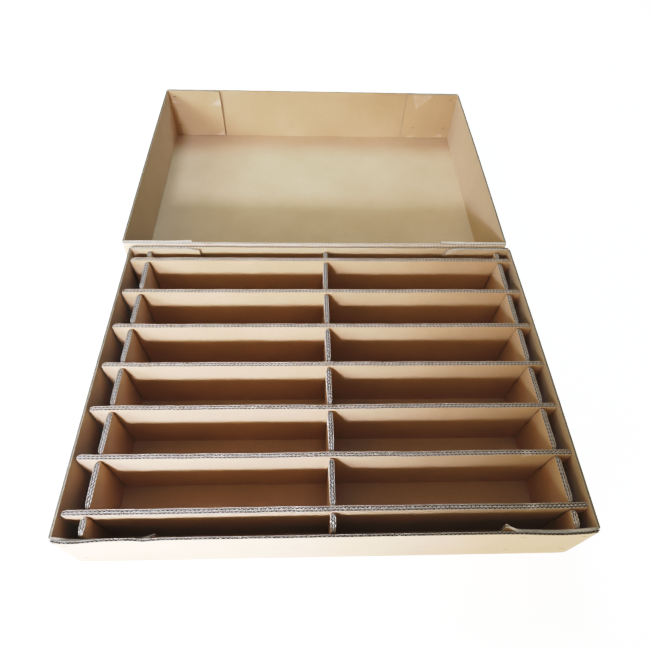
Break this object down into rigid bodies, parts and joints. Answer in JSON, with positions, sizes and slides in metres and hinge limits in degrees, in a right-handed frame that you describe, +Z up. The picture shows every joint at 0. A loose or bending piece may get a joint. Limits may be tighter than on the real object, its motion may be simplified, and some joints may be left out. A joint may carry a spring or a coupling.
{
  "type": "bottle shipping box",
  "caption": "Open corrugated carton for bottles lying on their sides: a shallow base tray with an interlocking partition, and its full-depth lid lying open behind it.",
  "frame": {"origin": "middle of the base tray's underside, on the surface that it stands on", "axes": "+X along the bottles, to the right seen from the front; +Y from the front wall towards the lid; +Z up"},
  "size_m": [0.7965, 1.1404, 0.138],
  "materials": {
    "tray_board": "single-wall kraft board, matt",
    "divider_board": "double-wall kraft board, matt, with bare flutes on its cut edges",
    "staple_wire": "coppered flat wire, dull"
  },
  "bodies": {
    "root": {"base_tray": "tray_board", "lid_tray": "tray_board", "long_divider_1": "divider_board", "long_divider_2": "divider_board", "long_divider_3": "divider_board", "long_divider_4": "divider_board", "long_divider_5": "divider_board", "long_divider_6": "divider_board", "long_divider_7": "divider_board", "cross_divider_1": "divider_board", "cross_divider_2": "divider_board", "cross_divider_3": "divider_board", "base_staples_front_left": "staple_wire", "base_staples_front_right": "staple_wire", "base_staples_back_left": "staple_wire", "base_staples_back_right": "staple_wire", "lid_staples_front_left": "staple_wire", "lid_staples_front_right": "staple_wire", "lid_staples_back_left": "staple_wire", "lid_staples_back_right": "staple_wire"}
  },
  "joints": []
}
